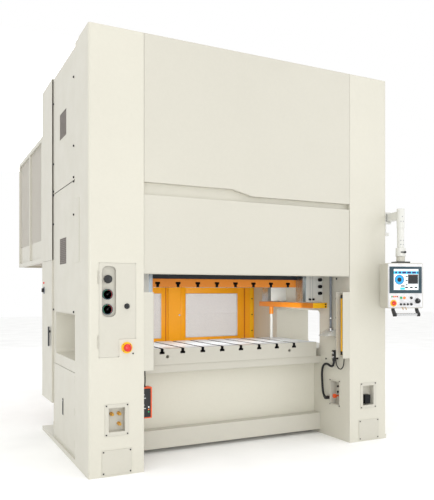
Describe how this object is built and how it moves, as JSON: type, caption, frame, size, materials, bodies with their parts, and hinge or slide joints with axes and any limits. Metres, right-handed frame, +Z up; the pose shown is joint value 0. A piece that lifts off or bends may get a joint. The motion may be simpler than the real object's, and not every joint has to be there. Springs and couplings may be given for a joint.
{
  "type": "mechanical stamping press",
  "caption": "Straight-side two-point servo stamping press with T-slotted bolster and slide, geared eccentric drive, guard cage, light curtains and a swing-arm operator pendant.",
  "frame": {"origin": "on the floor, at the centre of the four anchor bolt holes, below the centre of the bolster", "axes": "+Z up, +Y from the operator's side to the rear, +X to the operator's right"},
  "size_m": [3.1679, 3.8556, 3.506],
  "materials": {
    "cream_paint": "semi-gloss",
    "mesh_sheet": "satin",
    "orange_paint": "semi-gloss",
    "cast_iron": "machined",
    "bare_steel": "ground",
    "motor_grey": "satin",
    "yellow_trim": "gloss",
    "black_plastic": "matte",
    "black_steel": "black oxide",
    "cable_sheath": "matte",
    "gauge_metal": "gloss",
    "red_plastic": "gloss",
    "teal_panel": "satin"
  },
  "bodies": {
    "frame": {"left_upright": "cream_paint", "right_upright": "cream_paint", "bed": "cream_paint", "crown": "cream_paint", "bolster_plate": "cream_paint", "gib_blocks": "bare_steel", "wear_bars": "bare_steel", "gear_shafts": "bare_steel", "servo_motor": "motor_grey", "upper_front_panel": "cream_paint", "front_slide_guard": "cream_paint", "side_covers": "cream_paint", "side_grilles": "mesh_sheet", "rear_housing": "cream_paint", "cage_frame": "cream_paint", "cage_mesh": "mesh_sheet", "control_cabinet": "cream_paint", "rear_guard_frame": "orange_paint", "curtain_channels": "cream_paint", "light_curtains": "yellow_trim", "side_rail": "orange_paint", "rail_post": "cream_paint", "conduit_pipe": "bare_steel", "cable_shelf": "cream_paint", "junction_boxes": "black_plastic", "curtain_cable": "cable_sheath", "sensor_cable": "cable_sheath", "left_sensor_cable": "cable_sheath", "pressure_gauges": "gauge_metal", "stop_plate": "yellow_trim", "column_covers": "cream_paint", "column_fittings": "black_plastic", "cap_screws": "black_steel", "arm_bracket": "cream_paint"},
    "slide": {"slide_body": "cast_iron", "slide_plate": "orange_paint"},
    "left_gear": {"left_eccentric_gear": "cast_iron"},
    "right_gear": {"right_eccentric_gear": "cast_iron"},
    "left_rod": {"left_connecting_rod": "cast_iron"},
    "right_rod": {"right_connecting_rod": "cast_iron"},
    "pinion": {"drive_pinion": "bare_steel"},
    "left_front_leaf": {"left_front_door": "cream_paint"},
    "left_rear_leaf": {"left_rear_door": "cream_paint"},
    "right_front_leaf": {"right_front_door": "cream_paint"},
    "right_rear_leaf": {"right_rear_door": "cream_paint"},
    "cabinet_leaf": {"cabinet_door": "cream_paint"},
    "cabinet_knob": {"cabinet_switch": "black_plastic"},
    "left_guard": {"left_guard_door": "orange_paint"},
    "right_guard": {"right_guard_door": "orange_paint"},
    "panel_leaf": {"control_door": "cream_paint"},
    "lock": {"key_switch": "black_plastic"},
    "regulator": {"regulator_knob": "black_plastic"},
    "stop": {"stop_button": "red_plastic"},
    "arm": {"pendant_arm": "cream_paint"},
    "pendant": {"pendant_case": "cream_paint", "pendant_panel": "teal_panel", "pendant_handle": "black_plastic"},
    "dial": {"pendant_dial": "black_plastic"},
    "hand_stop": {"pendant_stop": "red_plastic"},
    "start": {"start_button": "black_plastic"}
  },
  "joints": [
    {"name": "slide_stroke", "type": "slide", "parent": "frame", "child": "slide", "axis": [0, 0, 1], "range_m": [-0.15, 0]},
    {"name": "left_gear_turn", "type": "hinge", "parent": "frame", "child": "left_gear", "pos_m": [-0.48, 0.13, 2.905], "axis": [0, 1, 0], "range_deg": [0, 181]},
    {"name": "right_gear_turn", "type": "hinge", "parent": "frame", "child": "right_gear", "pos_m": [0.48, 0.13, 2.905], "axis": [0, 1, 0], "range_deg": [0, 181]},
    {"name": "left_rod_swing", "type": "hinge", "parent": "left_gear", "child": "left_rod", "pos_m": [-0.48, 0, 2.98], "axis": [0, 1, 0], "range_deg": [-181, 0]},
    {"name": "right_rod_swing", "type": "hinge", "parent": "right_gear", "child": "right_rod", "pos_m": [0.48, 0, 2.98], "axis": [0, 1, 0], "range_deg": [-181, 0]},
    {"name": "pinion_turn", "type": "hinge", "parent": "frame", "child": "pinion", "pos_m": [0, 0.13, 2.56193], "axis": [0, 1, 0], "range_deg": [-530, 0]},
    {"name": "left_front_door_swing", "type": "hinge", "parent": "frame", "child": "left_front_leaf", "pos_m": [-1.4645, -0.3415, 0.414], "axis": [0, 0, 1], "range_deg": [0, 95]},
    {"name": "left_rear_door_swing", "type": "hinge", "parent": "frame", "child": "left_rear_leaf", "pos_m": [-1.4645, 0.5225, 0.414], "axis": [0, 0, 1], "range_deg": [-95, 0]},
    {"name": "right_front_door_swing", "type": "hinge", "parent": "frame", "child": "right_front_leaf", "pos_m": [1.4645, -0.3415, 0.414], "axis": [0, 0, 1], "range_deg": [-95, 0]},
    {"name": "right_rear_door_swing", "type": "hinge", "parent": "frame", "child": "right_rear_leaf", "pos_m": [1.4645, 0.5225, 0.414], "axis": [0, 0, 1], "range_deg": [0, 95]},
    {"name": "cabinet_door_swing", "type": "hinge", "parent": "frame", "child": "cabinet_leaf", "pos_m": [-1.4785, 1.061, 1.05], "axis": [0, 0, 1], "range_deg": [-100, 0]},
    {"name": "cabinet_switch_turn", "type": "hinge", "parent": "cabinet_leaf", "child": "cabinet_knob", "pos_m": [-1.4785, 0.955, 1.453], "axis": [-1, 0, 0], "range_deg": [0, 90]},
    {"name": "left_guard_swing", "type": "hinge", "parent": "frame", "child": "left_guard", "pos_m": [-0.9415, 1.026, 1.18], "axis": [0, 0, 1], "range_deg": [0, 100]},
    {"name": "right_guard_swing", "type": "hinge", "parent": "frame", "child": "right_guard", "pos_m": [0.9075, 1.026, 1.18], "axis": [0, 0, 1], "range_deg": [-100, 0]},
    {"name": "panel_door_swing", "type": "hinge", "parent": "frame", "child": "panel_leaf", "pos_m": [-1.3965, -0.832, 1.295], "axis": [0, 0, 1], "range_deg": [-110, 0]},
    {"name": "key_turn", "type": "hinge", "parent": "panel_leaf", "child": "lock", "pos_m": [-1.1725, -0.84, 1.324], "axis": [0, -1, 0], "range_deg": [0, 90]},
    {"name": "regulator_turn", "type": "hinge", "parent": "frame", "child": "regulator", "pos_m": [-1.3265, -0.83, 1.536], "axis": [0, -1, 0], "continuous": true},
    {"name": "stop_press", "type": "slide", "parent": "frame", "child": "stop", "axis": [0, 1, 0], "range_m": [0, 0.008], "stiffness_N_per_m": 1500},
    {"name": "arm_swing", "type": "hinge", "parent": "frame", "child": "arm", "pos_m": [1.5385, -0.788, 2.165], "axis": [0, 0, 1], "range_deg": [-5, 90]},
    {"name": "pendant_swivel", "type": "hinge", "parent": "arm", "child": "pendant", "pos_m": [1.4745, -1.035, 1.74], "axis": [0, 0, 1], "range_deg": [-35, 60]},
    {"name": "dial_turn", "type": "hinge", "parent": "pendant", "child": "dial", "pos_m": [1.5556, -1.169, 1.351], "axis": [-0.304, -0.9527, 0], "continuous": true},
    {"name": "hand_stop_press", "type": "slide", "parent": "pendant", "child": "hand_stop", "axis": [0.304, 0.9527, 0], "range_m": [0, 0.004], "stiffness_N_per_m": 1000},
    {"name": "start_press", "type": "slide", "parent": "pendant", "child": "start", "axis": [0.304, 0.9527, 0], "range_m": [0, 0.004], "stiffness_N_per_m": 800}
  ],
  "couplings": [
    {"joint": "left_gear_turn", "follows": "slide_stroke", "rad_per_m": -20.944},
    {"joint": "right_gear_turn", "follows": "slide_stroke", "rad_per_m": -20.944},
    {"joint": "left_rod_swing", "follows": "slide_stroke", "rad_per_m": 20.944},
    {"joint": "right_rod_swing", "follows": "slide_stroke", "rad_per_m": 20.944},
    {"joint": "pinion_turn", "follows": "slide_stroke", "rad_per_m": 61.436}
  ]
}
